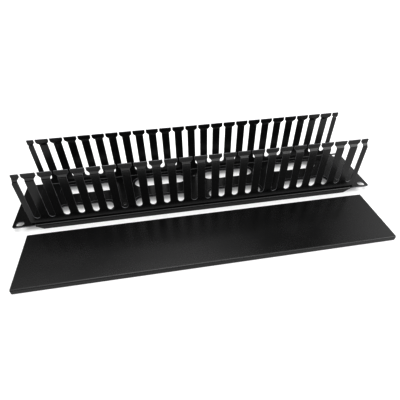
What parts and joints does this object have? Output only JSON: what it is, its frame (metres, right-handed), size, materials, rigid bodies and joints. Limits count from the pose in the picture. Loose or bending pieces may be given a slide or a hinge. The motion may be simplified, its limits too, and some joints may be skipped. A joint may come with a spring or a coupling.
{
  "type": "horizontal cable manager",
  "caption": "Flat rack panel with a slotted metal finger duct standing on it, T-headed fingers along both sides, oblong cable holes through its base, and a separate folded cover.",
  "frame": {"origin": "centre of the four rack slots, on the rear (mounting) face of the panel's ears", "axes": "+X along the panel, +Y up the rack (away from the loose cover), +Z out of the rack, the way the fingers stand"},
  "size_m": [0.4826, 0.1839, 0.0818],
  "materials": {
    "black_powder_coat": "semi-gloss black powder coat over folded steel sheet",
    "black_rivet": "black coated blind rivet"
  },
  "bodies": {
    "manager": {"rack_panel": "black_powder_coat", "finger_duct": "black_powder_coat", "duct_rivets": "black_rivet"},
    "cover": {"duct_cover": "black_powder_coat"}
  },
  "joints": [
    {"name": "cover_lift", "type": "slide", "parent": "manager", "child": "cover", "axis": [0, 0, 1], "range_m": [0, 0.12]}
  ]
}
